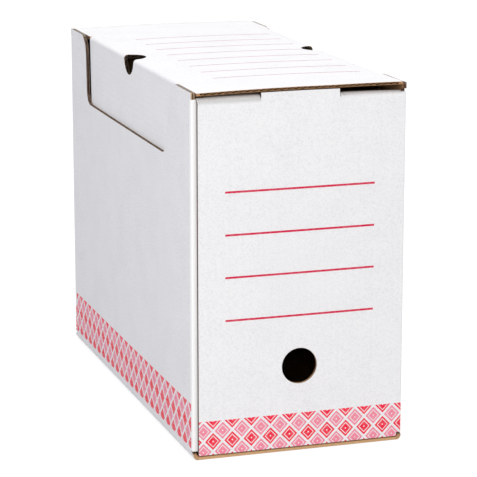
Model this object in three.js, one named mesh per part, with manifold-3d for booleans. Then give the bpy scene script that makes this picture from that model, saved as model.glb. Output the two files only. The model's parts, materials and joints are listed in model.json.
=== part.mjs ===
// Archive box for A4 papers, die-cut from one sheet of white-lined corrugated board.
// Millimetres, +Z up. The origin is the middle of the underside, the front faces -Y.
import * as THREE from 'three';
import { mergeVertices } from 'three/addons/utils/BufferGeometryUtils.js';
import Module from 'manifold-3d';

const wasm = await Module();
wasm.setup();

// Outside of the closed box.
const width = 150;
const depth = 325;
const height = 250;

// Board and creases.
const board = 2.5;
const foldRadius = 3.5; // outer face of a folded corner
const cornerRelief = 5.5; // left open at the foot of a crease, where three panels meet
const topRelief = 4.5; // the same at its top
const edgeGap = 0.3; // between a free edge and the panel that it stops at
const wallSlack = 0.3; // lid and wings inside the side panels, each side
const arcSteps = 8;
const overrun = 2; // how far a cutter reaches past what it cuts

// Cut-out in each side panel that lays the wing of the lid open to the fingers.
const cutoutFromFront = 50;
const cutoutFromRear = 46;
const cutoutDrop = 51;
const cutoutFrontSlant = 12;
const cutoutRearSlant = 3.5;
const cutoutFootRadius = 10;
const cutoutMouthRadius = 15;

// Wings of the lid.
const wingTuck = 16; // below the foot of the cut-out
const wingLap = 10; // in front of the cut-out
const wingShort = 3; // short of the rear end of the cut-out
const wingRadius = 10;
const thumbRadius = 12.5; // half-moons on the creases between lid and wings

// Front panel.
const frontInset = 5; // free left edge, in from the left side
const fingerRadius = 12.5;
const fingerHeight = 60;
const tabWidth = 55;
const tabSlit = 1;
const shoulderInset = 6; // outer ends of the top crease
const cornerCutWidth = 1.4; // slanted top corner of the free edge
const cornerCutHeight = 6;
const topFlapInset = 9;
const topFlapDepth = 25;
const topFlapTaper = 6;
const topFlapRadius = 4;
const topFlapDrop = 1.6; // top face of the flap below the underside of the lid

// Flaps glued behind the front and rear panels.
const gluedWidth = 38;
const gluedTaper = 14; // at both ends, at 45 degrees

const halfWidth = width / 2;
const halfDepth = depth / 2;
const innerHalfWidth = halfWidth - board;
const innerHalfDepth = halfDepth - board;
const foldInner = foldRadius - board;
const lidHalfWidth = innerHalfWidth - wallSlack;
const lidUnder = height - board;
const wallTop = height - topRelief;
const flapTop = lidUnder - topFlapDrop;
const wallFoot = board + edgeGap;

const xAxis = new THREE.Vector3(1, 0, 0);
const yAxis = new THREE.Vector3(0, 1, 0);
const zAxis = new THREE.Vector3(0, 0, 1);

// An outline with its own radius at each corner: [u, v] or [u, v, radius].
function outline(corners) {
  const shape = new THREE.Shape();
  corners.forEach(([u, v, radius = 0], i) => {
    const here = new THREE.Vector2(u, v);
    const before = corners[(i + corners.length - 1) % corners.length];
    const after = corners[(i + 1) % corners.length];
    const back = new THREE.Vector2(before[0] - u, before[1] - v).normalize();
    const on = new THREE.Vector2(after[0] - u, after[1] - v).normalize();
    if (radius === 0) {
      if (i === 0) shape.moveTo(u, v);
      else shape.lineTo(u, v);
      return;
    }
    const half = Math.acos(THREE.MathUtils.clamp(back.dot(on), -1, 1)) / 2;
    const reach = radius / Math.tan(half);
    const start = here.clone().addScaledVector(back, reach);
    const end = here.clone().addScaledVector(on, reach);
    const middle = back.clone().add(on).normalize();
    const centre = here.clone().addScaledVector(middle, radius / Math.sin(half));
    const clockwise = back.cross(on) > 0;
    const startAngle = Math.atan2(start.y - centre.y, start.x - centre.x);
    const endAngle = Math.atan2(end.y - centre.y, end.x - centre.x);
    if (i === 0) shape.moveTo(start.x, start.y);
    else shape.lineTo(start.x, start.y);
    shape.absarc(centre.x, centre.y, radius, startAngle, endAngle, clockwise);
  });
  shape.closePath();
  return shape;
}

function solidOf(geometry) {
  geometry.deleteAttribute('normal');
  geometry.deleteAttribute('uv');
  const welded = mergeVertices(geometry);
  const vertProperties = Float32Array.from(welded.attributes.position.array);
  const triVerts = Uint32Array.from(welded.index.array);
  return new wasm.Manifold(new wasm.Mesh({ numProp: 3, vertProperties, triVerts }));
}

function extrude(shape, length, basis, offset) {
  const options = { depth: length, bevelEnabled: false, curveSegments: arcSteps };
  const geometry = new THREE.ExtrudeGeometry(shape, options);
  geometry.applyMatrix4(basis);
  geometry.translate(offset.x, offset.y, offset.z);
  return solidOf(geometry);
}

// Full circle, in quarters so that it comes out round.
function disc(u, v, radius) {
  const shape = new THREE.Shape();
  for (const quarter of [0, 1, 2, 3]) {
    const start = quarter * Math.PI / 2;
    shape.absarc(u, v, radius, start, start + Math.PI / 2, false);
  }
  return shape;
}

// Outline in X and Y, from one height to another.
function alongZ(shape, low, high) {
  return extrude(shape, high - low, new THREE.Matrix4(), new THREE.Vector3(0, 0, low));
}

// Outline in X and Z, from one Y to another.
function alongY(shape, low, high) {
  const basis = new THREE.Matrix4().makeBasis(xAxis, zAxis, yAxis.clone().negate());
  return extrude(shape, high - low, basis, new THREE.Vector3(0, high, 0));
}

// Outline in Y and Z, from one X to another.
function alongX(shape, low, high) {
  const basis = new THREE.Matrix4().makeBasis(yAxis, zAxis, xAxis);
  return extrude(shape, high - low, basis, new THREE.Vector3(low, 0, 0));
}

function box(x, y, z) {
  const shape = outline([[x[0], y[0]], [x[1], y[0]], [x[1], y[1]], [x[0], y[1]]]);
  return alongZ(shape, z[0], z[1]);
}

function mirrored(solid) {
  return solid.mirror([1, 0, 0]);
}

function halfTurned(solid) {
  return solid.rotate([0, 0, 180]);
}

// A board folded through a right angle, in section: the corner of the outer faces is at
// (u, v), and the two legs run from there towards +u and +v.
function foldedCorner(u, v, legU, legV) {
  const shape = new THREE.Shape();
  const cu = u + foldRadius;
  const cv = v + foldRadius;
  shape.moveTo(u + legU, v);
  shape.lineTo(u + legU, v + board);
  shape.lineTo(cu, v + board);
  shape.absarc(cu, cv, foldInner, -Math.PI / 2, -Math.PI, true);
  shape.lineTo(u + board, v + legV);
  shape.lineTo(u, v + legV);
  shape.lineTo(u, cv);
  shape.absarc(cu, cv, foldRadius, Math.PI, Math.PI * 1.5, false);
  shape.closePath();
  return shape;
}

// The two slanted ends of the cut-out, carried on to any drop below the top.
function frontSlantAt(drop) {
  return -halfDepth + cutoutFromFront + cutoutFrontSlant * drop / cutoutDrop;
}

function rearSlantAt(drop) {
  return halfDepth - cutoutFromRear - cutoutRearSlant * drop / cutoutDrop;
}

const thumbY = (frontSlantAt(0) + rearSlantAt(0)) / 2;

// How an end of a side panel runs up from the crease of the bottom: [in from the outer face
// of the front or rear, height]. One end turns into a glued flap, a board behind that face.
const gluedEnd = [
  [0, foldRadius],
  [board + foldRadius, cornerRelief],
  [board + foldRadius, wallTop],
  [board, wallTop],
  [board, height],
];

// The other end meets the fold of the front or rear panel.
const foldEnd = [
  [0, foldRadius],
  [foldRadius, cornerRelief],
  [foldRadius, wallTop + edgeGap],
  [0, wallTop + edgeGap],
  [0, height],
];

// Side panel on the left, with the crease to the bottom.
function sidePanel(frontEnd, rearEnd) {
  const profile = outline([
    [-halfDepth, 0],
    [halfDepth, 0],
    ...rearEnd.map(([inset, z]) => [halfDepth - inset, z]),
    [rearSlantAt(0), height, cutoutMouthRadius],
    [rearSlantAt(cutoutDrop), height - cutoutDrop, cutoutFootRadius],
    [frontSlantAt(cutoutDrop), height - cutoutDrop, cutoutFootRadius],
    [frontSlantAt(0), height, cutoutMouthRadius],
    ...frontEnd.map(([inset, z]) => [inset - halfDepth, z]).reverse(),
  ]);
  const bent = foldedCorner(-halfWidth, 0, foldRadius, height);
  const wall = alongY(bent, -halfDepth, halfDepth);
  const slab = alongX(profile, -halfWidth - overrun, -halfWidth + foldRadius + overrun);
  return wall.intersect(slab);
}

// Flap behind the front panel, folded from the left side panel and glued.
function gluedFlap() {
  const plan = foldedCorner(-halfWidth, -innerHalfDepth, foldRadius + gluedWidth, foldRadius);
  const creaseX = -halfWidth + foldRadius;
  const freeX = creaseX + gluedWidth;
  const taperX = creaseX + gluedTaper;
  const profile = outline([
    [-halfWidth - overrun, cornerRelief],
    [creaseX, cornerRelief],
    [taperX, cornerRelief + gluedTaper],
    [freeX, cornerRelief + gluedTaper],
    [freeX, wallTop - gluedTaper],
    [taperX, wallTop - gluedTaper],
    [creaseX, wallTop],
    [-halfWidth - overrun, wallTop],
  ]);
  const tall = alongZ(plan, 0, height);
  return tall.intersect(alongY(profile, -halfDepth, 0));
}

// Wall with its fold round one corner, from its free left edge to the right side panel.
function foldedWall(top) {
  const plan = foldedCorner(-halfWidth, -halfDepth, width - frontInset, foldRadius);
  const tall = mirrored(alongZ(plan, wallFoot, top));
  const cornerX = halfWidth - foldRadius;
  const low = box(
    [cornerX, halfWidth + overrun], [-halfDepth - overrun, 0], [0, cornerRelief]);
  const high = box(
    [cornerX, halfWidth + overrun], [-halfDepth - overrun, 0], [wallTop, height]);
  return tall.subtract(low).subtract(high);
}

function frontPanel() {
  const crease = flapTop - foldRadius;
  let panel = foldedWall(crease);
  const leg = foldRadius + board;
  const section = foldedCorner(-halfDepth, -flapTop, foldRadius, leg);
  const bend = alongX(section, shoulderInset, halfWidth - tabWidth / 2 - tabSlit)
    .mirror([0, 0, 1]);
  panel = panel.add(bend.translate([-halfWidth, 0, 0]));
  panel = panel.add(mirrored(bend.translate([-halfWidth, 0, 0])));
  const tab = box(
    [-tabWidth / 2, tabWidth / 2], [-halfDepth, -innerHalfDepth],
    [crease - board, lidUnder - edgeGap]);
  panel = panel.add(tab);
  const freeX = -halfWidth + frontInset;
  const corner = outline([
    [freeX - overrun, crease + foldRadius + overrun],
    [freeX - overrun, crease - cornerCutHeight],
    [freeX, crease - cornerCutHeight],
    [freeX + cornerCutWidth, crease],
    [freeX + cornerCutWidth, crease + foldRadius + overrun],
  ]);
  for (const cut of [corner, disc(0, fingerHeight, fingerRadius)]) {
    panel = panel.subtract(alongY(cut, -halfDepth - overrun, -innerHalfDepth + overrun));
  }
  return panel;
}

// Flap along the top of the front panel, turned in under the lid. Its root is cut away
// where the tab stands up out of it.
function topFlap() {
  const rootY = -halfDepth + foldRadius + edgeGap;
  const endY = rootY + topFlapDepth;
  const creaseLength = (foldRadius + foldInner) / 2 * Math.PI / 2;
  const tabRise = lidUnder - edgeGap - (flapTop - foldRadius);
  const bite = Math.max(tabRise - creaseLength, 0) + tabSlit;
  const rootX = halfWidth - topFlapInset;
  const endX = rootX - topFlapTaper;
  const biteX = tabWidth / 2 + tabSlit;
  const plan = outline([
    [-rootX, rootY],
    [-biteX, rootY],
    [-biteX, rootY + bite],
    [biteX, rootY + bite],
    [biteX, rootY],
    [rootX, rootY],
    [endX, endY, topFlapRadius],
    [-endX, endY, topFlapRadius],
  ]);
  return alongZ(plan, flapTop - board, flapTop);
}

// Lid between the side panels, with the outer faces of its three creases rounded.
function lidPanel() {
  const lid = box([-lidHalfWidth, lidHalfWidth], [-halfDepth, halfDepth], [lidUnder, height]);
  const sharp = new THREE.Shape();
  sharp.moveTo(-overrun, overrun);
  sharp.lineTo(-overrun, -board);
  sharp.lineTo(0, -board);
  sharp.absarc(board, -board, board, Math.PI, Math.PI / 2, true);
  sharp.lineTo(board, overrun);
  sharp.closePath();
  const front = frontSlantAt(0) - wingLap;
  const rear = rearSlantAt(0) - wingShort;
  const sideCut = alongY(sharp, front, rear).translate([-lidHalfWidth, 0, height]);
  const rearCut = alongX(sharp, -halfWidth, halfWidth).mirror([0, 1, 0])
    .translate([0, halfDepth, height]);
  const thumb = disc(-lidHalfWidth, thumbY, thumbRadius);
  const thumbCut = alongZ(thumb, lidUnder - overrun, height + overrun);
  let panel = lid.subtract(rearCut);
  for (const cut of [sideCut, thumbCut]) {
    panel = panel.subtract(cut).subtract(mirrored(cut));
  }
  return panel;
}

// Left wing, hanging from the lid inside the side panel.
function lidWing() {
  const top = lidUnder - edgeGap;
  const drop = cutoutDrop + wingTuck;
  const topDrop = height - top;
  const profile = outline([
    [frontSlantAt(drop) - wingLap, height - drop, wingRadius],
    [rearSlantAt(drop) - wingShort, height - drop, wingRadius],
    [rearSlantAt(topDrop) - wingShort, top],
    [frontSlantAt(topDrop) - wingLap, top],
  ]);
  const wing = alongX(profile, -lidHalfWidth, -lidHalfWidth + board);
  const thumb = disc(thumbY, height, thumbRadius);
  const thumbCut = alongX(thumb, -halfWidth, -lidHalfWidth + board + overrun);
  return wing.subtract(thumbCut);
}

function bottomPanel() {
  const reach = halfWidth - foldRadius;
  return box([-reach, reach], [-halfDepth, halfDepth], [0, board]);
}

// White liner outside, brown board inside and on every cut edge: the outside sets the colour.
const liner = { color: 0xefeef1, roughness: 0.62, metalness: 0 };
const sideLiner = { color: 0xe4e3e8, roughness: 0.66, metalness: 0 };

const archiveBox = new THREE.Group();

function addPanel(name, solid, finish) {
  const mesh = solid.getMesh();
  const geometry = new THREE.BufferGeometry();
  geometry.setAttribute('position', new THREE.BufferAttribute(mesh.vertProperties, 3));
  geometry.setIndex(new THREE.BufferAttribute(mesh.triVerts, 1));
  geometry.computeVertexNormals();
  const panel = new THREE.Mesh(geometry, new THREE.MeshStandardMaterial(finish));
  panel.name = name;
  archiveBox.add(panel);
}

const rearTop = lidUnder - edgeGap;

addPanel('bottom_panel', bottomPanel(), sideLiner);
addPanel('left_side_panel', sidePanel(gluedEnd, foldEnd), sideLiner);
addPanel('right_side_panel', mirrored(sidePanel(foldEnd, gluedEnd)), sideLiner);
addPanel('front_panel', frontPanel(), liner);
addPanel('rear_panel', halfTurned(foldedWall(rearTop)), liner);
addPanel('front_glued_flap', gluedFlap(), liner);
addPanel('rear_glued_flap', halfTurned(gluedFlap()), liner);
addPanel('front_top_flap', topFlap(), liner);
addPanel('lid_panel', lidPanel(), liner);
addPanel('left_lid_wing', lidWing(), sideLiner);
addPanel('right_lid_wing', mirrored(lidWing()), sideLiner);

export default archiveBox;
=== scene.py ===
import json
import math

import bmesh
import bpy
from mathutils import Matrix, Vector, noise


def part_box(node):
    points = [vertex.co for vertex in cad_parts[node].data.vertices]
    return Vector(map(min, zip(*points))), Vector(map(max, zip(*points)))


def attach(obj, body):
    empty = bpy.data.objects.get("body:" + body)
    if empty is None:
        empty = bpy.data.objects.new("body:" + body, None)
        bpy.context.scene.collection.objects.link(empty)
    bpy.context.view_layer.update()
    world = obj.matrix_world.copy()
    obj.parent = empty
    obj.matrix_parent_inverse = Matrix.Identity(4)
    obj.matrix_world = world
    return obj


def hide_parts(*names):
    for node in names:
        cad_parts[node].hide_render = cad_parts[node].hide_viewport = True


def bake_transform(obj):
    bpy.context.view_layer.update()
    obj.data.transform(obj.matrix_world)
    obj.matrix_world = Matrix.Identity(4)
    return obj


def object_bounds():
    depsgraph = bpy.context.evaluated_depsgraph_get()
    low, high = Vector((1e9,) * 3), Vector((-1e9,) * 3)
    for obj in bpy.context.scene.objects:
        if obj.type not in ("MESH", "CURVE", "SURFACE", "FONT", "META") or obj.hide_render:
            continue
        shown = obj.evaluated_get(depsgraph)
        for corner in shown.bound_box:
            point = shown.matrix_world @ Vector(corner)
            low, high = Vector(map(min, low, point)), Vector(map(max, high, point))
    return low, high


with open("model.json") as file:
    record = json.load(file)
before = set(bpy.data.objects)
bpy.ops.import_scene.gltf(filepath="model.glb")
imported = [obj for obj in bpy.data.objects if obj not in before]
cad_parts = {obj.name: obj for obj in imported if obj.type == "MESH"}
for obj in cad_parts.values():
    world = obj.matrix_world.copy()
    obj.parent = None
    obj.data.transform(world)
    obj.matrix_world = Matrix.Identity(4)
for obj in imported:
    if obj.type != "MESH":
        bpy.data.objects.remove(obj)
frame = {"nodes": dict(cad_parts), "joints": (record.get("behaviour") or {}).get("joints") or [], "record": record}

# Archive box of white-lined corrugated board: each panel gets its liners, its fluted core,
# its prints and the small bow that folded board has. Metres, front towards -Y.
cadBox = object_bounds()
low, high = cadBox
record = frame["record"]
bodyOf = {node: body for body, nodes in record["behaviour"]["bodies"].items() for node in nodes}
axes = {"x": Vector((1, 0, 0)), "y": Vector((0, 1, 0)), "z": Vector((0, 0, 1))}
place = {"x": 0, "y": 1, "z": 2}
mm = 0.001

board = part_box("bottom_panel")[1].z
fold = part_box("left_side_panel")[1].x - low.x  # outer radius of a folded corner
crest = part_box("front_top_flap")[1].z
shoulderCrease = crest - fold
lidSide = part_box("lid_panel")[1].x
thumbPlace = next(j for j in frame["joints"] if j["name"] == "left_wing_crease")["pos_m"][1]
thumbRadius = 12.6 * mm  # how far a thumb notch reaches along its crease, to each side
tabHalf = 27.5 * mm  # half the width of the tab in the front's top edge
print("frame loaded, board", round(board / mm, 2), "mm")


# A socket in a node tree. Sums, products and comparisons of wires add Math nodes.
class Wire:
    def __init__(self, tree, socket=None):
        self.tree = tree
        self.socket = socket

    # Any node: its type, its settings, its inputs by name or number, and the output wanted.
    def node(self, kind, settings=None, inputs=None, output=0):
        made = self.tree.nodes.new(kind)
        for name, value in (settings or {}).items():
            setattr(made, name, value)
        for name, value in (inputs or {}).items():
            if isinstance(value, Wire):
                self.tree.links.new(value.socket, made.inputs[name])
            else:
                made.inputs[name].default_value = value
        return Wire(self.tree, made.outputs[output] if made.outputs else None)

    def maths(self, operation, *values):
        return self.node("ShaderNodeMath", {"operation": operation}, dict(enumerate(values)))

    def __add__(self, other):
        return self.maths("ADD", self, other)

    def __sub__(self, other):
        return self.maths("SUBTRACT", self, other)

    def __rsub__(self, other):
        return self.maths("SUBTRACT", other, self)

    def __mul__(self, other):
        return self.maths("MULTIPLY", self, other)

    def __truediv__(self, other):
        return self.maths("DIVIDE", self, other)

    def __lt__(self, other):
        return self.maths("LESS_THAN", self, other)

    def __gt__(self, other):
        return self.maths("GREATER_THAN", self, other)

    def sine(self):
        return self.maths("SINE", self)

    def size(self):
        return self.maths("ABSOLUTE", self)

    def fraction(self):
        return self.maths("FRACT", self)

    def floor(self):
        return self.maths("FLOOR", self)

    def larger(self, other):
        return self.maths("MAXIMUM", self, other)

    def smaller(self, other):
        return self.maths("MINIMUM", self, other)

    # 0 below start, 1 above end, smooth between.
    def rise(self, start, end):
        settings = {"interpolation_type": "SMOOTHSTEP"}
        return self.node("ShaderNodeMapRange", settings, {0: self, 1: start, 2: end})

    # The colour a where self is 0 and b where it is 1.
    def blendColours(self, a, b):
        settings = {"data_type": "RGBA"}
        return self.node("ShaderNodeMix", settings, {0: self, 6: a, 7: b}, output=2)


# A colour as a picture editor shows it, 0 to 255, made linear.
def tint(red, green, blue):
    linear = [((v / 255 + 0.055) / 1.055) ** 2.4 for v in (red, green, blue)]
    return (*linear, 1)


# The fluted board in section.
flutes = {
    "pitch": 4.8 * mm,
    "liner": 0.36 * mm,  # thickness of the papers outside and inside
    "medium": 0.26 * mm,  # thickness of the waved paper
    "steps": 10,  # columns to one flute
    "swing": 0.49,  # share of the free height that the wave takes on each side
    "crush": 0.16, "crushScale": 90,
}

# Noise: scale and detail, the range over which it fades in and its share of the colour, and
# its depth in millimetres where it can be felt.
paperLook = {
    "white": tint(240, 239, 241),
    "shade": tint(225, 224, 228),
    "fibres": {"scale": 900, "detail": 3, "range": (0.35, 0.75), "share": 0.82, "depth": 0.016},
    "mottle": {"scale": 38, "detail": 3, "range": (0.35, 0.7), "share": 0.18},
    "dents": {"scale": 22, "detail": 1, "depth": 0.018},
    # The valley tint is painted shade: a faint grey along the valleys of the flutes, for the shade of the
    # washboard; its depth is a bump.
    "valleys": {"tint": tint(150, 150, 160), "share": 0.014, "depth": 0.012},  # of the flutes below
    "wear": {"scale": 420, "detail": 2, "range": (0.3, 0.62), "share": 0.1},  # ink is thinner there
    "roughness": (0.56, 0.12),  # the least, and what the mottle adds
}

kraftLook = {
    "fibres": {"scale": 700, "detail": 3, "share": 0.6, "depth": 0.03},
    "mottle": {"scale": 30, "detail": 3, "share": 0.4},
    "range": (0.3, 0.68),
    "alongFlutes": 0.12,  # scale of the fibres that way, against 1 across
    "roughness": (0.78, 0.1),
}

cutLook = {
    "streaks": {"scale": 650, "detail": 3, "range": (0.3, 0.7), "share": 0.6, "depth": 0.05},
    "bites": {"scale": 1900, "detail": 2, "range": (0.3, 0.7), "share": 0.4, "depth": 0.06},
    "roughness": (0.82, 0.1),
}

cloudRoughness = 0.55
paperGloss = 0.3

inks = {"crimson": tint(238, 24, 62), "pale": tint(238, 134, 158), "lines": tint(208, 14, 66),
        "lidLines": tint(158, 16, 84)}

writingLines = {"from": -52.5 * mm, "to": 53 * mm, "width": 1.45 * mm,
                "heights": [183 * mm, 154 * mm, 125 * mm, 95.5 * mm]}

lidLines = {"from": -44.5 * mm, "to": 61.5 * mm, "width": 1 * mm, "first": -111 * mm,
            "pitch": 27.7 * mm, "count": 8}

# Ring and heart are shares of a lozenge, counted from its middle.
lozengeBand = {
    "pitch": 13.6 * mm, "row": 14.4 * mm,
    "ends": {"foot": 0.6 * mm, "top": 26.6 * mm, "ring": (0.3, 0.42), "heart": (0.045, 0.25)},
    "sides": {"foot": 7 * mm, "top": 38.2 * mm, "ring": (0.255, 0.39), "heart": (0.03, 0.235),
              "until": 157.4 * mm}}

boardLook = {
    "kraft": tint(176, 138, 98),
    "kraftDark": tint(150, 112, 76),
    "cut": tint(194, 150, 110),
    "cutDark": tint(146, 104, 70),
    "closedCut": tint(206, 168, 124),
    "core": tint(164, 122, 84),
    "sideCut": tint(158, 142, 130),
    "sideCutDark": tint(96, 78, 66),
    "sideCore": tint(150, 126, 106),
    "sideCoreDark": tint(104, 82, 66),
    # The Right tones are painted light and shade for the right side under the lid: its top edge is made paler
    # against the lid's shade, and its front end darker as that shade. endEdge is painted light, the left front end
    # lightened against the lid's shade.
    "topEdge": tint(178, 166, 156),
    "topEdgeRight": tint(236, 232, 228),
    "endEdge": tint(206, 176, 142),
    "endEdgeRight": tint(120, 88, 62),
    "footEdge": tint(186, 144, 104),
    # The free edge colours are cut board made darker and greyer: painted shade on the front panel's cut faces, its
    # free left edge, the rim of its finger hole and its tab's edges.
    "freeEdge": tint(108, 88, 72),
    "freeEdgeDark": tint(58, 46, 36),
    # The notch colours are cut board made darker: painted shade on the cut faces round a thumb notch and along the
    # lid's sides.
    "notch": tint(112, 88, 66),
    "notchDark": tint(58, 42, 30),
    "notchInside": tint(14, 10, 8),
    # This grey is painted shade for the shoulders where they go in under the lid.
    "rubbed": tint(120, 112, 110),
}

# Tones of the sides' cut edges, with painted light and shade in the end tone and in the right top tone: where each
# one starts, where it is full, and its share.
sideTone = {
    "top": {"heights": (high.z - 2 * mm, high.z - mm), "share": 0.85},
    "foot": {"heights": (fold + mm, fold), "share": 0.9},
    "end": {"places": (low.y + fold + 1.2 * mm, low.y + fold + 0.5 * mm),
            "heights": (shoulderCrease - mm, shoulderCrease), "share": 0.85}}

# A thumb notch gets painted shade inside: a near-black colour on its cut faces behind the rim, and in the flutes
# near it.
notchPaintedShadow = {"share": 0.92, "behindRim": (0.6 * mm, 1.3 * mm), "nearby": (16 * mm, 14 * mm)}

# The shoulders beside the tab get painted shade, a grey, where they go in under the lid.
shoulderShade = {"heights": (shoulderCrease - 1.2 * mm, crest - 1.4 * mm), "share": 0.45,
               "beside": tabHalf, "behind": (low.y + 9 * mm, low.y + 3.5 * mm)}


# A material in the making: where a point is, the noises, and the tones that several share, some of them painted
# light and painted shade.
class Finish:
    def __init__(self, name):
        self.material = bpy.data.materials.new(name)
        self.material.use_nodes = True
        self.tree = self.material.node_tree
        self.tree.nodes.clear()
        self.start = Wire(self.tree)
        self.spot = self.start.node("ShaderNodeTexCoord", output=3)
        parts = self.tree.nodes.new("ShaderNodeSeparateXYZ")
        self.tree.links.new(self.spot.socket, parts.inputs[0])
        self.along = {name: Wire(self.tree, parts.outputs[i]) for name, i in place.items()}

    def clouds(self, plan, stretch=None):
        spot = self.spot
        if stretch:
            spot = self.start.node("ShaderNodeMapping", {}, {"Vector": spot, "Scale": stretch})
        return self.start.node("ShaderNodeTexNoise", {}, {
            "Vector": spot, "Scale": plan["scale"], "Detail": plan["detail"],
            "Roughness": cloudRoughness})

    # The cut edges of the sides are paler along the top of the box, browner at its foot, and have
    # a tone of their own at the front ends. That end tone is painted light on the left, lightened
    # against the shade of the lid, and painted shade on the right, darkened as the lid's shade; the
    # right top edge is painted light, paler still against that shade.
    def sideTonesPaintedLight(self, colour):
        top, foot, end = (sideTone[part] for part in ("top", "foot", "end"))
        y, z = self.along["y"], self.along["z"]
        # Painted light and shade: the right side gets its own top and end tones.
        right = self.along["x"] > 0
        topToneAndLight, endPaintedLight = (right.blendColours(boardLook[key], boardLook[key + "Right"])
                            for key in ("topEdge", "endEdge"))
        nearTop = z.rise(*top["heights"]) * top["share"]
        nearEnd = y.rise(*end["places"]) * z.rise(*end["heights"]) * end["share"]
        nearFoot = z.rise(*foot["heights"]) * foot["share"]
        colour = nearTop.blendColours(colour, topToneAndLight)
        colour = nearEnd.blendColours(colour, endPaintedLight)
        return nearFoot.blendColours(colour, boardLook["footEdge"])

    # Painted shade: the cut faces of a notch turn near black behind the rim.
    def paintedShadowBehindRim(self, colour):
        depth = (lidSide - self.along["x"].size()).smaller(high.z - self.along["z"])
        dark = depth.rise(*notchPaintedShadow["behindRim"]) * notchPaintedShadow["share"]
        return dark.blendColours(colour, boardLook["notchInside"])

    # Painted shade: the flutes near a notch turn near black.
    def paintedShadowNearNotch(self, colour):
        away = (self.along["y"] - thumbPlace).size()
        dark = away.rise(*notchPaintedShadow["nearby"]) * notchPaintedShadow["share"]
        return dark.blendColours(colour, boardLook["notchInside"])

    # Heights are in millimetres.
    def done(self, colour, roughness, height):
        bump = self.start.node("ShaderNodeBump", {}, {
            "Height": height, "Strength": 1.0, "Distance": mm})
        shader = self.start.node("ShaderNodeBsdfPrincipled", {}, {
            "Base Color": colour, "Roughness": roughness, "Normal": bump,
            "Specular IOR Level": paperGloss})
        self.start.node("ShaderNodeOutputMaterial", {}, {"Surface": shader})
        return self.material


# What a noise adds: nothing below its range, its whole share above.
def patches(cloud, plan):
    return cloud.rise(*plan["range"]) * plan["share"]


# Smooth wave across the flutes, from -1 to 1.
def fluteWave(finish, across):
    return (finish.along[across] * (2 * math.pi / flutes["pitch"])).sine()


# Straight lines to write on, each from one side to the other at its own place.
def lineMask(finish, across, along, plan, places):
    side = finish.along[across]
    reach = (side > plan["from"]) * (side < plan["to"])
    mask = 0
    for spot in places:
        near = (finish.along[along] - spot).size() < plan["width"] / 2
        mask = near if mask == 0 else mask.larger(near)
    return mask * reach


# Rows of lozenges set half a pitch over from row to row, each with a ring and a small heart.
def lozengeMasks(finish, across, reach):
    plan = lozengeBand
    u = finish.along[across] / plan["pitch"]
    v = (finish.along["z"] - reach["top"]) / plan["row"]
    rising = u + v
    falling = u - v
    fromMiddle = (rising.fraction() - 0.5).size().larger((falling.fraction() - 0.5).size())
    ring, heart = ((fromMiddle > reach[part][0]) * (fromMiddle < reach[part][1])
                   for part in ("ring", "heart"))
    inside = (finish.along["z"] > reach["foot"]) * (finish.along["z"] < reach["top"])
    if "until" in reach:
        inside = inside * (finish.along["y"].size() < reach["until"])
    # The fraction is 0 or 0.5, by turns from row to row.
    everySecondRow = ((rising.floor() - falling.floor()) / 2).fraction() < 0.25
    return ring.larger(heart) * inside, everySecondRow


# Paper given a lift is whiter by that share: painted light, on the wings and on the glued flaps.
# Paper given a grey gets greyer by the share given, from one height to another: painted shade.
def whitePaper(name, across, prints=None, ink="lines", band=None, paintedLift=0, rubbed=None):
    finish = Finish(name)
    look = paperLook
    bright, shade = ([v + (1 - v) * paintedLift for v in look[key]] for key in ("white", "shade"))
    fibres, mottle, dents = (finish.clouds(look[key]) for key in ("fibres", "mottle", "dents"))
    wave = fluteWave(finish, across)
    dull = patches(fibres, look["fibres"]) + patches(mottle, look["mottle"])
    colour = dull.blendColours(bright, shade)
    # Painted shade along the valleys of the flutes.
    valley = (wave * -0.5 + 0.5) * look["valleys"]["share"]
    colour = valley.blendColours(colour, look["valleys"]["tint"])
    # Painted shade: the paper turns grey towards the top of the shoulders beside the tab, where the lid shades
    # them.
    if rubbed:
        beside = finish.along["x"].size() > rubbed["beside"]
        inFront = finish.along["y"].rise(*rubbed["behind"])
        grey = finish.along["z"].rise(*rubbed["heights"]) * rubbed["share"] * beside * inFront
        colour = grey.blendColours(colour, boardLook["rubbed"])
    if prints or band:
        inked = patches(finish.clouds(look["wear"]), look["wear"]) + (1 - look["wear"]["share"])
    if prints:
        colour = (prints(finish) * inked).blendColours(colour, inks[ink])
    if band:
        mask, secondRow = lozengeMasks(finish, across, lozengeBand[band])
        twoInks = secondRow.blendColours(inks["pale"], inks["crimson"])
        colour = (mask * inked).blendColours(colour, twoInks)
    grain = fibres * look["fibres"]["depth"] + wave * look["valleys"]["depth"]
    least, more = look["roughness"]
    return finish.done(colour, mottle * more + least, grain + dents * look["dents"]["depth"])


def lidPaper(name):
    def lines(finish):
        plan = lidLines
        spots = [plan["first"] + plan["pitch"] * i for i in range(plan["count"])]
        return lineMask(finish, "x", "y", plan, spots)
    return whitePaper(name, "x", prints=lines, ink="lidLines")


def frontPaper(name):
    def lines(finish):
        return lineMask(finish, "x", "z", writingLines, writingLines["heights"])
    # The front gets the painted shade of the shoulders under the lid.
    return whitePaper(name, "x", prints=lines, band="ends", rubbed=shoulderShade)


# Brown paper with fibres lying along the flutes. A tone of Finish may go over it, and some of these tones are
# painted light and painted shade.
def kraftPaper(name, light, dark, along, tone=None):
    finish = Finish(name)
    look = kraftLook
    stretch = [look["alongFlutes"] if axis == along else 1.0 for axis in place]
    fibres = finish.clouds(look["fibres"], stretch)
    mottle = finish.clouds(look["mottle"])
    shade = fibres * look["fibres"]["share"] + mottle * look["mottle"]["share"]
    colour = shade.rise(*look["range"]).blendColours(boardLook[light], boardLook[dark])
    if tone:
        colour = tone(finish, colour)
    least, more = look["roughness"]
    return finish.done(colour, mottle * more + least, fibres * look["fibres"]["depth"])


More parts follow.
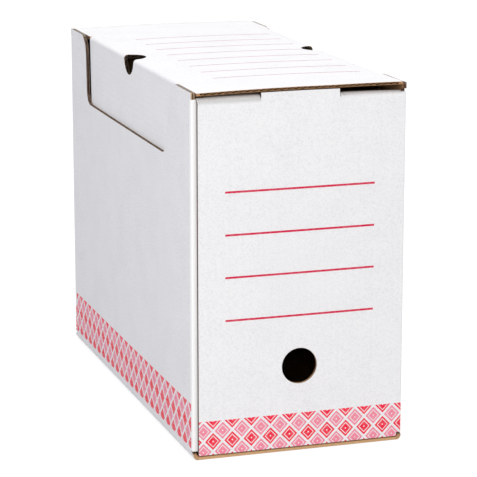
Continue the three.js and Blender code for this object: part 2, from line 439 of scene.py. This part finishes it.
# Where the board was cut: crushed brown paper, lighter and darker in short streaks.
def cutBoard(name, light, dark, tone=None):
    finish = Finish(name)
    look = cutLook
    streaks, bites = (finish.clouds(look[key]) for key in ("streaks", "bites"))
    shade = patches(streaks, look["streaks"]) + patches(bites, look["bites"])
    colour = shade.blendColours(boardLook[light], boardLook[dark])
    if tone:
        colour = tone(finish, colour)
    least, more = look["roughness"]
    height = bites * look["bites"]["depth"] + streaks * look["streaks"]["depth"]
    return finish.done(colour, streaks * more + least, height)


finishes = {
    "frontPaper": frontPaper("front_paper"),
    "rearPaper": whitePaper("rear_paper", "x", band="ends"),
    "sidePaper": whitePaper("side_paper", "y", band="sides"),
    "lidPaper": lidPaper("lid_paper"),
    # Painted light: the wings' paper is made a little whiter.
    "wingPaper": whitePaper("wing_paper", "z", paintedLift=0.1),
    "plainPaper": whitePaper("plain_paper", "x"),
    # Painted shade on the shoulders under the lid.
    "shoulderPaper": whitePaper("shoulder_paper", "x", rubbed=shoulderShade),
    # Painted light: the glued flaps' paper is made much whiter, where the step of the front panel shades the strip
    # beside it.
    "flapPaper": whitePaper("flap_paper", "y", band="sides", paintedLift=0.75),
    "bottomPaper": whitePaper("bottom_paper", "y"),
    "kraftUp": kraftPaper("kraft_upright", "kraft", "kraftDark", "z"),
    "kraftFlat": kraftPaper("kraft_level", "kraft", "kraftDark", "y"),
    "kraftAcross": kraftPaper("kraft_across", "kraft", "kraftDark", "x"),
    "cutEdge": cutBoard("cut_edge", "cut", "cutDark"),
    "sideEdge": cutBoard("side_edge", "sideCut", "sideCutDark", Finish.sideTonesPaintedLight),
    "freeEdge": cutBoard("free_edge", "freeEdge", "freeEdgeDark"),
    "notchEdge": cutBoard("notch_edge", "notch", "notchDark", Finish.paintedShadowBehindRim),
    "closedEdge": cutBoard("closed_edge", "closedCut", "cut"),
    "corePaper": kraftPaper("core_paper", "cut", "core", "z"),
    "notchCore": kraftPaper("notch_core", "cut", "core", "z", Finish.paintedShadowNearNotch),
    "sideCore": kraftPaper("side_core", "sideCore", "sideCoreDark", "z", Finish.sideTonesPaintedLight),
}
print("finishes", len(finishes))


# How folded board bows: the lid is crowned and the walls belly out a little. A wall's own bow
# starts at a share of the way from the middle of the box and fades in over the next share.
bow = {"crown": 1.2 * mm, "crownFrom": 200 * mm, "foot": 25 * mm,
       "front": 0.7 * mm, "frontShares": (0.8, 0.2), "side": 0.9 * mm, "sideShares": (0.7, 0.25),
       "ripple": 0.04 * mm, "rippleScale": 14, "rippleSeed": 5}
noise.seed_set(bow["rippleSeed"])

# The top crease of the front stands higher at its left end than right of the tab: its lift
# beside the tab and at the end. The sag is what the right half of the flap loses for each metre
# that it runs in.
shoulders = {"tabEdge": tabHalf + 0.5 * mm, "end": 69 * mm, "fadeBelow": 14 * mm,
             "left": (-0.3 * mm, 0.4 * mm), "right": (-1.7 * mm, -1.5 * mm), "sag": 0.14}
tilted = ("front_panel", "front_top_flap")

# The front corner of the lid at the right stands up a little.
lidLift = {"height": 0.8 * mm, "behind": -122 * mm, "reach": 40 * mm, "from": 20 * mm}

# Die-cut ends that the knife pressed thin: the share that each face loses, and how far in.
pressed = {"lid_panel": {"ends": (-1,), "above": 0.14, "below": 0.34},
           "bottom_panel": {"ends": (-1, 1), "above": 0.46, "below": 0.08}}
pressReach = 1.8 * mm
pressCutShares = (0.4, 1)  # where the mesh is cut for it
pressMiddle = {node: (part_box(node)[0].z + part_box(node)[1].z) / 2 for node in pressed}

# Upright folds are crisper than a plain round: how square, and how far in each round starts.
crispness = 8
crisp = {"glued_flap": board + fold, "front_panel": fold, "rear_panel": fold}

# The free left edge of the front stands nearer to the side, fills the cut at its top and flares
# out above the start of the shoulder.
flare = {"cut": 1.4 * mm, "cutHeight": 6 * mm, "out": 0.9 * mm, "below": 1.4 * mm, "span": 7 * mm,
         "nearer": 1.2 * mm}

# The slits by the tab: the share of their width that they keep, how much shallower they are, and
# how near a point has to be to count as theirs.
slit = {"edge": tabHalf, "width": 1 * mm, "widthShare": 0.4, "shallow": 1.9 * mm,
        "slack": 0.1 * mm, "level": 0.05 * mm}


def smooth(value):
    t = min(max(value, 0), 1)
    return t * t * (3 - 2 * t)


# The tab itself stays level, and the flap behind it slopes from shoulder to shoulder.
def shoulderLift(spot, node):
    plan = shoulders
    x, y, z = spot
    out = (abs(x) - plan["tabEdge"]) / (plan["end"] - plan["tabEdge"])
    if out < 0 and node == "front_panel":
        return 0
    start, end = plan["left"] if x < 0 else plan["right"]
    if out < 0:
        start, end, out = plan["left"][0], plan["right"][0], (x / plan["tabEdge"] + 1) / 2
    sag = plan["sag"] * smooth(x / plan["tabEdge"]) * max(y - low.y - fold, 0)
    return (start + (end - start) * out) * smooth((z - crest) / plan["fadeBelow"] + 1) - sag


# An upright fold drawn out towards its corner.
def sharpened(x, y, node):
    inset = next((inset for part, inset in crisp.items() if part in node), None)
    if inset is None:
        return x, y
    startX, startY = high.x - fold, high.y - inset
    outX, outY = abs(x) - startX, abs(y) - startY
    if outX <= 0 or outY <= 0:
        return x, y
    reach = math.hypot(outX, outY)
    power = (outX / reach) ** crispness + (outY / reach) ** crispness
    more = power ** (-1 / crispness)
    return (math.copysign(startX + outX * more, x), math.copysign(startY + outY * more, y))


# The free edge and the slits of the front panel.
def trimmed(x, z):
    if x < 0:
        near = smooth((-high.x + fold + flare["span"] + flare["cut"] - x) / flare["span"])
        cancel = min(max((z - shoulderCrease) / flare["cutHeight"] + 1, 0), 1) * flare["cut"]
        out = smooth((z - shoulderCrease + flare["below"]) / (fold + flare["below"])) * flare["out"]
        x -= near * (cancel + out + flare["nearer"])
    past = abs(x) - slit["edge"]
    beside = -slit["slack"] < past < slit["width"] + slit["slack"]
    if beside and z > shoulderCrease - slit["level"]:
        if z < shoulderCrease + slit["level"]:
            z += slit["shallow"]
        x = math.copysign(slit["edge"] + past * slit["widthShare"], x)
    return x, z


def pressedFlat(y, z, node):
    plan = pressed[node]
    middle = pressMiddle[node]
    if math.copysign(1, y) not in plan["ends"]:
        return z
    share = plan["above"] if z > middle else plan["below"]
    return middle + (z - middle) * (1 - share * smooth(1 - (high.y - abs(y)) / pressReach))


# Where a point of the flat-sided solids stands on the folded box.
def bowed(spot, node=""):
    x, y, z = spot
    if node in tilted:
        z += shoulderLift(spot, node)
    if node == "front_panel":
        x, z = trimmed(x, z)
    if node in pressed:
        z = pressedFlat(y, z, node)
    if node == "lid_panel":
        inFront = smooth((lidLift["behind"] - y) / lidLift["reach"])
        z += lidLift["height"] * inFront * smooth((x - lidLift["from"]) / (high.x - lidLift["from"]))
    x, y = sharpened(x, y, node)
    fromFoot = smooth(z / bow["foot"])
    belly = math.sin(math.pi * min(max(z / high.z, 0), 1))
    acrossX = max(1 - (x / high.x) ** 2, 0)
    acrossY = max(1 - (y / high.y) ** 2, 0)
    nearEnd, nearSide = (smooth((share - bow[part][0]) / bow[part][1]) for part, share in (
        ("frontShares", abs(y) / high.y), ("sideShares", abs(x) / high.x)))
    nearTop = smooth((z - bow["crownFrom"]) / (high.z - bow["crownFrom"]))
    drift = noise.noise_vector(Vector(spot) * bow["rippleScale"]) * bow["ripple"] * fromFoot
    return Vector((
        x + math.copysign(bow["side"], x) * acrossY * belly * nearSide + drift.x,
        y + math.copysign(bow["front"], y) * acrossX * belly * nearEnd + drift.y,
        z + bow["crown"] * acrossX * nearTop + drift.z))


planeSlack = 1e-7  # a point this near to a cutting plane lies in it
weld = 1e-6  # points this near become one
sharpFrom = {"panel": 32, "strip": 40}  # degrees


# Cuts a mesh into squares, so that it can bow, and closer along its pressed ends.
def gridded(mesh, step, node):
    cuts = bmesh.new()
    cuts.from_mesh(mesh)
    ends = pressed[node]["ends"] if node in pressed else ()
    for name, way in axes.items():
        spots = [v.co[place[name]] for v in cuts.verts]
        count = int((max(spots) - min(spots)) / step)
        stops = [min(spots) + (max(spots) - min(spots)) * i / count for i in range(1, count)]
        if name == "y":
            stops += [end * (high.y - pressReach * share)
                      for end in ends for share in pressCutShares]
        for stop in stops:
            everything = cuts.verts[:] + cuts.edges[:] + cuts.faces[:]
            bmesh.ops.bisect_plane(
                cuts, geom=everything, dist=planeSlack, plane_co=way * stop, plane_no=way)
    cuts.to_mesh(mesh)
    cuts.free()


def bend(mesh, node):
    for vertex in mesh.vertices:
        vertex.co = bowed(vertex.co, node)
    mesh.shade_smooth()
    mesh.set_sharp_from_angle(angle=math.radians(sharpFrom["panel"]))
    mesh.update()


def addObject(name, mesh):
    thing = bpy.data.objects.new(name, mesh)
    bpy.context.scene.collection.objects.link(thing)
    return thing


def discard(thing):
    mesh = thing.data
    bpy.data.objects.remove(thing)
    if mesh.users == 0:
        bpy.data.meshes.remove(mesh)


# The mesh that an object has once its modifiers have run.
def applied(thing, name):
    depsgraph = bpy.context.evaluated_depsgraph_get()
    mesh = bpy.data.meshes.new_from_object(thing.evaluated_get(depsgraph))
    mesh.name = name
    return mesh


# Booleans one solid with another and gives the new mesh.
def carved(thing, cutter, operation, name):
    step = thing.modifiers.new("carve", "BOOLEAN")
    step.operation = operation
    step.solver = "EXACT"
    step.object = cutter
    mesh = applied(thing, name)
    thing.modifiers.remove(step)
    return mesh


# Panels. Each is told which way its outer face looks, which way its flutes run, and where its
# core stops at either end: runsOut goes on out of it, a size stops that far short of it.
runsOut = None
rim = 1.1 * mm  # paper left closed beyond the flutes
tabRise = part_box("front_panel")[1].z - shoulderCrease
roundedEdge = board + 0.2 * mm
panels = {
    "bottom_panel": {
        "outer": "-z", "along": "x", "paper": "bottomPaper", "kraft": "kraftAcross",
        "edge": "closedEdge", "stops": {"x": (runsOut, runsOut), "y": (rim, rim)}},
    "left_side_panel": {
        "outer": "-x", "along": "z", "paper": "sidePaper", "edge": "sideEdge", "kraft": "kraftUp",
        "core": "sideCore", "stops": {"y": (runsOut, runsOut), "z": (fold, runsOut)}},
    "right_side_panel": {
        "outer": "x", "along": "z", "paper": "sidePaper", "edge": "sideEdge", "kraft": "kraftUp",
        "core": "sideCore", "stops": {"y": (runsOut, runsOut), "z": (fold, runsOut)}},
    "front_panel": {
        "outer": "-y", "along": "z", "paper": "frontPaper", "edge": "freeEdge", "kraft": "kraftUp",
        "stops": {"x": (rim, fold), "z": (runsOut, tabRise + rim)}},
    "rear_panel": {
        "outer": "y", "along": "z", "paper": "rearPaper", "kraft": "kraftUp",
        "stops": {"x": (fold, rim), "z": (runsOut, runsOut)}},
    "front_glued_flap": {
        "outer": "-y", "along": "z", "paper": "flapPaper", "kraft": "kraftUp",
        "stops": {"x": (fold, rim), "z": (runsOut, runsOut)}},
    "rear_glued_flap": {
        "outer": "y", "along": "z", "paper": "flapPaper", "kraft": "kraftUp",
        "stops": {"x": (rim, fold), "z": (runsOut, runsOut)}},
    "front_top_flap": {
        "outer": "z", "along": "y", "paper": "shoulderPaper", "kraft": "kraftFlat",
        "stops": {"x": (rim, rim), "y": (runsOut, runsOut)}},
    "lid_panel": {
        "outer": "z", "along": "y", "paper": "lidPaper", "kraft": "kraftFlat",
        "core": "notchCore", "stops": {"x": (roundedEdge, roundedEdge), "y": (runsOut, roundedEdge)}},
    "left_lid_wing": {
        "outer": "-x", "along": "y", "paper": "wingPaper", "edge": "sideEdge", "kraft": "kraftFlat",
        "core": "notchCore", "stops": {"y": (runsOut, runsOut), "z": (rim, rim)}},
    "right_lid_wing": {
        "outer": "x", "along": "y", "paper": "wingPaper", "edge": "sideEdge", "kraft": "kraftFlat",
        "core": "notchCore", "stops": {"y": (runsOut, runsOut), "z": (rim, rim)}},
}
pastEnd = 3 * mm  # how far an open core goes on
gridStep = 22 * mm
fineStep = 7 * mm  # where a panel has small turns of its own
paperSlot, kraftSlot, cutSlot, coreSlot, notchSlot = range(5)
facingLimit = 0.02  # a face turned less than this to the outer or inner side is a cut face
sideFacing = 0.5  # and one turned more than this to the left or right lies along the lid's side
flatAngle = 0.002  # radians


def outward(plan):
    way = axes[plan["outer"][-1]]
    return -way if plan["outer"].startswith("-") else way


# In the order of the slots above.
def addFinishes(mesh, plan):
    cut, core = plan.get("edge", "cutEdge"), plan.get("core", "corePaper")
    for name in (plan["paper"], plan["kraft"], cut, core, "notchEdge"):
        mesh.materials.append(finishes[name])


# These faces get the notch finish, which is darkened as painted shade.
# The cut faces of the lid and its wings round a thumb notch, and those along the lid's sides.
def byNotch(node, face):
    fromThumb = abs(face.calc_center_median().y - thumbPlace)
    return "lid" in node and (fromThumb < thumbRadius or abs(face.normal.x) > sideFacing)


# A merged copy of a node, its faces sorted into outer paper, inner paper and cut edge.
def panelCopy(node, plan):
    skin = bmesh.new()
    skin.from_mesh(frame["nodes"][node].data)
    bmesh.ops.remove_doubles(skin, verts=skin.verts[:], dist=weld)
    way = outward(plan)
    skin.normal_update()
    for face in skin.faces:
        facing = face.normal.dot(way)
        if abs(facing) > facingLimit:
            face.material_index = paperSlot if facing > 0 else kraftSlot
        else:
            face.material_index = notchSlot if byNotch(node, face) else cutSlot
    bmesh.ops.dissolve_limit(
        skin, angle_limit=flatAngle, verts=skin.verts[:], edges=skin.edges[:],
        delimit={"MATERIAL", "NORMAL"})
    mesh = bpy.data.meshes.new(node + "_board")
    skin.to_mesh(mesh)
    skin.free()
    addFinishes(mesh, plan)
    return addObject(node + "_board", mesh)


# The room between the liners, as far as the stops of the panel let it run.
def coreBox(node, plan):
    lowest, highest = (Vector(corner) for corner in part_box(node))
    through = plan["outer"][-1]
    i = place[through]
    if plan["outer"].startswith("-"):
        lowest[i] += flutes["liner"]
        highest[i] = lowest[i] + board - 2 * flutes["liner"]
    else:
        highest[i] -= flutes["liner"]
        lowest[i] = highest[i] - board + 2 * flutes["liner"]
    for name, (first, last) in plan["stops"].items():
        k = place[name]
        lowest[k] += -pastEnd if first is runsOut else first
        highest[k] -= -pastEnd if last is runsOut else last
    shape = bmesh.new()
    bmesh.ops.create_cube(shape, size=1)
    for vertex in shape.verts:
        for k in range(3):
            middle = (lowest[k] + highest[k]) / 2
            vertex.co[k] = middle + vertex.co[k] * (highest[k] - lowest[k])
    for face in shape.faces:
        face.material_index = coreSlot
    mesh = bpy.data.meshes.new(node + "_core")
    shape.to_mesh(mesh)
    shape.free()
    addFinishes(mesh, plan)
    return addObject(node + "_core", mesh), lowest, highest


# Geometry Nodes for the fluted paper: a waved sheet with a thickness, cut to an outline.
def fluteTree():
    tree = bpy.data.node_groups.new("flutes", "GeometryNodeTree")
    sizes = ("Across", "Along", "Offset", "Pitch", "Height", "Paper", "Crush")
    for name in sizes:
        tree.interface.new_socket(name, in_out="INPUT", socket_type="NodeSocketFloat")
    for name in ("Columns", "Rows"):
        tree.interface.new_socket(name, in_out="INPUT", socket_type="NodeSocketInt")
    for name in ("Place", "Turn"):
        tree.interface.new_socket(name, in_out="INPUT", socket_type="NodeSocketVector")
    tree.interface.new_socket("Outline", in_out="INPUT", socket_type="NodeSocketObject")
    tree.interface.new_socket("Finish", in_out="INPUT", socket_type="NodeSocketMaterial")
    tree.interface.new_socket("Geometry", in_out="OUTPUT", socket_type="NodeSocketGeometry")
    start = Wire(tree)
    group = tree.nodes.new("NodeGroupInput")
    given = {socket.name: Wire(tree, socket) for socket in group.outputs if socket.name}
    sheet = start.node("GeometryNodeMeshGrid", {}, {
        "Size X": given["Across"], "Size Y": given["Along"],
        "Vertices X": given["Columns"], "Vertices Y": given["Rows"]})
    spot = start.node("GeometryNodeInputPosition")
    x = start.node("ShaderNodeSeparateXYZ", {}, {0: spot})
    wave = ((x + given["Offset"]) * (2 * math.pi) / given["Pitch"]).sine()
    crushed = start.node("ShaderNodeTexNoise", {}, {
        "Vector": spot, "Scale": flutes["crushScale"], "Detail": 1})
    reach = (given["Height"] - given["Paper"]) * flutes["swing"]
    lift = wave * reach * (1 - crushed * given["Crush"]) - given["Paper"] * 0.5
    rise = start.node("ShaderNodeCombineXYZ", {}, {2: lift})
    waved = start.node("GeometryNodeSetPosition", {}, {"Geometry": sheet, "Offset": rise})
    thick = start.node("ShaderNodeCombineXYZ", {}, {2: given["Paper"]})
    top = start.node("GeometryNodeExtrudeMesh", {}, {
        "Mesh": waved, "Offset": thick, "Offset Scale": 1.0, "Individual": False})
    under = start.node("GeometryNodeFlipFaces", {}, {"Mesh": waved})
    join = tree.nodes.new("GeometryNodeJoinGeometry")
    tree.links.new(top.socket, join.inputs[0])
    tree.links.new(under.socket, join.inputs[0])
    closed = start.node("GeometryNodeMergeByDistance", {}, {
        "Geometry": Wire(tree, join.outputs[0]), "Distance": weld})
    laid = start.node("GeometryNodeTransform", {}, {
        "Geometry": closed, "Translation": given["Place"], "Rotation": given["Turn"]})
    outline = start.node("GeometryNodeObjectInfo", {}, {"Object": given["Outline"]}, output=4)
    cut = tree.nodes.new("GeometryNodeMeshBoolean")
    cut.operation = "INTERSECT"
    cut.solver = "EXACT"
    tree.links.new(laid.socket, cut.inputs["Mesh 2"])
    tree.links.new(outline.socket, cut.inputs["Mesh 2"])
    real = start.node("GeometryNodeRealizeInstances", {}, {
        "Geometry": Wire(tree, cut.outputs["Mesh"])})
    painted = start.node("GeometryNodeSetMaterial", {}, {
        "Geometry": real, "Material": given["Finish"]})
    end = tree.nodes.new("NodeGroupOutput")
    tree.links.new(painted.socket, end.inputs["Geometry"])
    return tree


flutePaper = fluteTree()


def fluteSheet(node, plan, outline, lowest, highest):
    along = plan["along"]
    through = plan["outer"][-1]
    across = next(name for name in axes if name not in (along, through))
    basis = Matrix((axes[across], axes[along], axes[across].cross(axes[along]))).transposed()
    middle = (lowest + highest) / 2
    size = highest - lowest
    values = {
        "Across": size[place[across]],
        "Along": size[place[along]],
        "Offset": middle[place[across]],
        "Pitch": flutes["pitch"],
        "Height": board - 2 * flutes["liner"],
        "Paper": flutes["medium"],
        "Crush": flutes["crush"],
        "Columns": round(size[place[across]] / flutes["pitch"] * flutes["steps"]) + 1,
        "Rows": math.ceil(size[place[along]] / (fineStep if node in tilted else gridStep)) + 1,
        "Place": middle,
        "Turn": Vector(basis.to_euler()),
        "Outline": outline,
        "Finish": finishes[plan.get("core", "corePaper")],
    }
    carrier = addObject(node + "_carrier", bpy.data.meshes.new(node + "_carrier"))
    step = carrier.modifiers.new("flutes", "NODES")
    step.node_group = flutePaper
    for item in flutePaper.interface.items_tree:
        if item.in_out == "INPUT":
            step[item.identifier] = values[item.name]
    mesh = applied(carrier, node + "_flutes")
    carrier.modifiers.remove(step)
    discard(carrier)
    return mesh


def buildPanel(node, plan):
    solid = panelCopy(node, plan)
    core, lowest, highest = coreBox(node, plan)
    shell = carved(solid, core, "DIFFERENCE", node + "_paper")
    room = addObject(node + "_room", carved(solid, core, "INTERSECT", node + "_room"))
    waves = fluteSheet(node, plan, room, lowest, highest)
    gridded(shell, fineStep if node in tilted else gridStep, node)
    for mesh in (shell, waves):
        bend(mesh, node)
    liners = addObject(node.replace("_panel", "") + "_liners", shell)
    medium = addObject(node.replace("_panel", "") + "_flutes", waves)
    for piece in (liners, medium):
        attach(piece, bodyOf[node])
    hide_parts(node)
    for thing in (solid, core, room):
        discard(thing)
    print("panel", node, len(shell.polygons), "faces,", len(waves.polygons), "in the flutes")


for node, plan in panels.items():
    buildPanel(node, plan)


# Creases that turn: a strip of the outer paper that bends round from one panel to the next.
strip = {
    "proud": 0.06 * mm,  # how far it stands out from the panels
    "paper": 0.4 * mm,
    "leg": 1.3 * mm,  # how far it goes on flat past the bend
    "steps": 10,  # to one bend
    "station": 20 * mm,
    "besideTab": tabHalf + slit["width"],
    "shoulderLeg": 1.6 * mm,
    "shoulderFrom": 130,  # degrees
    "shoulderTurn": (0.4 * mm, 1.2 * mm),  # from before the fold's end to behind the flap's edge
    "cornerStop": 0.9 * mm,  # how far below the crest the front corner ends
}


# Points of a crease in section, from angle to angle in degrees, with a straight leg at each end.
def creaseSection(centre, radius, first, last, legs):
    way = 1 if last > first else -1
    spots = []
    for i in range(strip["steps"] + 1):
        angle = math.radians(first + (last - first) * i / strip["steps"])
        normal = Vector((math.cos(angle), math.sin(angle)))
        spots.append((centre + normal * radius, normal))
    for end, leg in ((0, legs[0]), (-1, legs[1])):
        spot, normal = spots[end]
        on = Vector((-normal.y, normal.x)) * (way if end else -way)
        if leg:
            spots.insert(0 if end == 0 else len(spots), (spot + on * leg, normal))
    return spots


# The points of a strip: at each station along it an outer and an inner row.
def stripRings(shape, plan):
    run = place[plan["along"]]
    across = [i for i in range(3) if i != run]
    first, last = plan["reach"]
    step = fineStep if "node" in plan else strip["station"]
    count = max(2, math.ceil((last - first) / step))
    rings = []
    for k in range(count + 1):
        ring = []
        for depth in plan.get("depths", (strip["proud"], strip["proud"] - strip["paper"])):
            row = []
            for spot, normal in plan["section"]:
                at = Vector((0, 0, 0))
                at[run] = first + (last - first) * k / count
                at[across[0]], at[across[1]] = spot + normal * depth
                row.append(shape.verts.new(bowed(at, plan.get("node", ""))))
            ring.append(row)
        rings.append(ring)
    return rings


def addFace(shape, corners, slot):
    face = shape.faces.new(corners)
    face.material_index = slot


def stripMesh(name, plan):
    shape = bmesh.new()
    rings = stripRings(shape, plan)
    steps = len(plan["section"]) - 1
    for ring, nextRing in zip(rings, rings[1:]):
        for j in range(steps):
            for slot in (paperSlot, kraftSlot):
                a, b = ring[slot], nextRing[slot]
                addFace(shape, (a[j], a[j + 1], b[j + 1], b[j]), slot)
        for j in (0, steps):
            (a, c), (b, d) = ring, nextRing
            addFace(shape, (a[j], b[j], d[j], c[j]), cutSlot)
    for outer, inner in (rings[0], rings[-1]):
        for j in range(steps):
            addFace(shape, (outer[j], outer[j + 1], inner[j + 1], inner[j]), cutSlot)
    bmesh.ops.recalc_face_normals(shape, faces=shape.faces[:])
    mesh = bpy.data.meshes.new(name)
    shape.to_mesh(mesh)
    shape.free()
    return mesh


# Stays where it is built when its plan gives a start, or else rides on one body.
def creaseStrip(name, plan):
    mesh = stripMesh(name, plan)
    for finish in (plan["paper"], plan["kraft"], plan["edge"]):
        mesh.materials.append(finishes[finish])
    mesh.shade_smooth()
    mesh.set_sharp_from_angle(angle=math.radians(sharpFrom["strip"]))
    piece = addObject(name, mesh)
    if "start" in plan:
        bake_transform(piece)
    else:
        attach(piece, *plan["bodies"])


underLid = high.z - board
bothLegs = (strip["leg"], strip["leg"])


def addRearCrease():
    creaseStrip("rear_crease", {
        "section": creaseSection(Vector((high.y - board, underLid)), board, 0, 90, bothLegs),
        "along": "x", "reach": (low.x + fold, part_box("rear_panel")[1].x),
        "paper": "lidPaper", "kraft": "kraftFlat", "edge": "cutEdge", "slot": "lid_board",
        "bodies": ("tray", "lid"),
        "start": (0, high.y, underLid), "end": (0, high.y - board, high.z)})


# A strip in front of the thumb notch and one behind it, on each side of the lid.
def addWingCreases():
    front, rear = (corner.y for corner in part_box("left_lid_wing"))
    stretches = {"front": (front, thumbPlace - thumbRadius),
                 "rear": (thumbPlace + thumbRadius, rear)}
    for side, sign in (("left", -1), ("right", 1)):
        edge = sign * (lidSide - board)
        section = creaseSection(Vector((edge, underLid)), board, 90, 90 - sign * 90, bothLegs)
        for part, reach in stretches.items():
            creaseStrip(f"{side}_{part}_wing_crease", {
                "section": section, "along": "y", "reach": reach,
                "paper": "lidPaper", "kraft": "kraftFlat", "edge": "sideEdge",
                "slot": "lid_board", "bodies": ("lid", f"{side}_wing"),
                "start": (edge, 0, high.z), "end": (edge + sign * board, 0, underLid)})


def addShoulderCreases():
    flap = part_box("front_top_flap")
    before, behind = strip["shoulderTurn"]
    centre = Vector((low.y + fold, crest - fold))
    legs = (0, strip["shoulderLeg"])
    section = creaseSection(centre, fold, strip["shoulderFrom"], 90, legs)
    for side, sign in (("left", -1), ("right", 1)):
        creaseStrip(f"{side}_shoulder_crease", {
            "section": section, "along": "x", "node": "front_top_flap",
            "reach": sorted((sign * strip["besideTab"], sign * flap[1].x)),
            "paper": "shoulderPaper", "kraft": "kraftFlat", "edge": "cutEdge",
            "slot": "inner_board", "bodies": ("tray", "top_flap"),
            "start": (0, low.y + fold - before, crest), "end": (0, flap[0].y + behind, crest)})


# The fold of the front runs on past its top crease, up to the end of the side panel, and the
# shoulder runs up to it.
def addFrontCorner():
    solid = {"node": "front_panel", "bodies": ("tray",), "depths": (0, -board),
             "kraft": "kraftUp", "edge": "plainPaper", "slot": "front_board"}
    creaseStrip("front_corner", {
        "section": creaseSection(Vector((high.x - fold, low.y + fold)), fold, 270, 360, (0, 0)),
        "along": "z", "reach": (shoulderCrease, crest - strip["cornerStop"]),
        "paper": "plainPaper", **solid})
    centre = Vector((low.y + fold, crest - fold))
    creaseStrip("shoulder_end", {
        "section": creaseSection(centre, fold, 180, 90, (0, strip["leg"])),
        "along": "x", "reach": (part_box("front_top_flap")[1].x, high.x - fold),
        "paper": "shoulderPaper", **solid})


addRearCrease()
addWingCreases()
addShoulderCreases()
addFrontCorner()
print("creases added")


# Stage: where the camera stands, and the light and the floor round the box.
camera = {"target": Vector((0.0098, 0, 0.1114)), "azimuth": -18.06, "elevation": 13.15,
          "distance": 1.669, "lens": 170.2, "sensor": 36}

sky = {"strength": 0.79, "tint": (0.94, 0.948, 1.0)}

suns = {"overhead": {"strength": 0.81, "spread": 60, "towards": (0.02, 0.1, -1)},
        "front_light": {"strength": 0.83, "spread": 45, "towards": (-0.28, 0.85, -0.45)}}
sunTint = (1.0, 0.992, 0.885)

softbox = {"strength": 4.45, "size": 0.6, "at": Vector((-0.9, -0.9, 0.55)),
           "tint": (1.0, 0.992, 0.975)}

# Dark where it throws light on the box, and lifted to white where the camera sees it.
floor = {"reach": 12, "drop": 0.3 * mm, "tint": tint(160, 160, 161), "roughness": 0.9, "glow": 0.72}


def addCamera():
    plan = camera
    data = bpy.data.cameras.new("camera")
    data.lens = plan["lens"]
    data.sensor_width = plan["sensor"]
    a, e = math.radians(plan["azimuth"]), math.radians(plan["elevation"])
    back = Vector((math.sin(a) * math.cos(e), -math.cos(a) * math.cos(e), math.sin(e)))
    eye = bpy.data.objects.new("camera", data)
    eye.location = plan["target"] + back * plan["distance"]
    eye.rotation_mode = "QUATERNION"
    eye.rotation_quaternion = (-back).to_track_quat("-Z", "Y")
    bpy.context.scene.collection.objects.link(eye)
    bpy.context.scene.camera = eye


def addLamp(name, data, towards, at=None):
    lamp = bpy.data.objects.new(name, data)
    if at is not None:
        lamp.location = at
    lamp.rotation_mode = "QUATERNION"
    lamp.rotation_quaternion = towards.to_track_quat("-Z", "Y")
    bpy.context.scene.collection.objects.link(lamp)


def addSun(name, plan):
    data = bpy.data.lights.new(name, "SUN")
    data.energy = plan["strength"]
    data.color = sunTint
    data.angle = math.radians(plan["spread"])
    addLamp(name, data, Vector(plan["towards"]))


def addSoftbox():
    data = bpy.data.lights.new("softbox", "AREA")
    data.energy = softbox["strength"]
    data.size = softbox["size"]
    data.color = softbox["tint"]
    middle = Vector((0, 0, high.z / 2))
    addLamp("softbox", data, middle - softbox["at"], softbox["at"])


# 1 where the camera looks, straight or by way of gloss or glass.
def seenDirectly(start):
    rays = start.tree.nodes.new("ShaderNodeLightPath")
    names = ("Is Camera Ray", "Is Glossy Ray", "Is Transmission Ray")
    straight, glossy, passing = (Wire(start.tree, rays.outputs[name]) for name in names)
    return straight.larger(glossy).larger(passing)


def addWorld():
    world = bpy.data.worlds.new("studio")
    world.use_nodes = True
    world.node_tree.nodes.clear()
    start = Wire(world.node_tree)
    dim = (*(v * sky["strength"] for v in sky["tint"]), 1)
    colour = seenDirectly(start).blendColours(dim, (1, 1, 1, 1))
    shine = start.node("ShaderNodeBackground", {}, {"Color": colour, "Strength": 1.0})
    start.node("ShaderNodeOutputWorld", {}, {"Surface": shine})
    bpy.context.scene.world = world


def addFloor():
    shape = bmesh.new()
    bmesh.ops.create_grid(shape, x_segments=2, y_segments=2, size=floor["reach"])
    mesh = bpy.data.meshes.new("floor")
    shape.to_mesh(mesh)
    shape.free()
    mesh.transform(Matrix.Translation((0, 0, -floor["drop"])))
    material = bpy.data.materials.new("floor_white")
    material.use_nodes = True
    material.node_tree.nodes.clear()
    start = Wire(material.node_tree)
    glow = seenDirectly(start) * floor["glow"]
    dull = start.node("ShaderNodeBsdfPrincipled", {}, {
        "Base Color": floor["tint"], "Roughness": floor["roughness"], "Specular IOR Level": 0.0,
        "Emission Color": glow, "Emission Strength": 1.0})
    start.node("ShaderNodeOutputMaterial", {}, {"Surface": dull})
    mesh.materials.append(material)
    addObject("floor", mesh)


addCamera()
addWorld()
addFloor()
for name, plan in suns.items():
    addSun(name, plan)
addSoftbox()
bpy.context.scene.view_settings.view_transform = "Standard"
print("stage set")
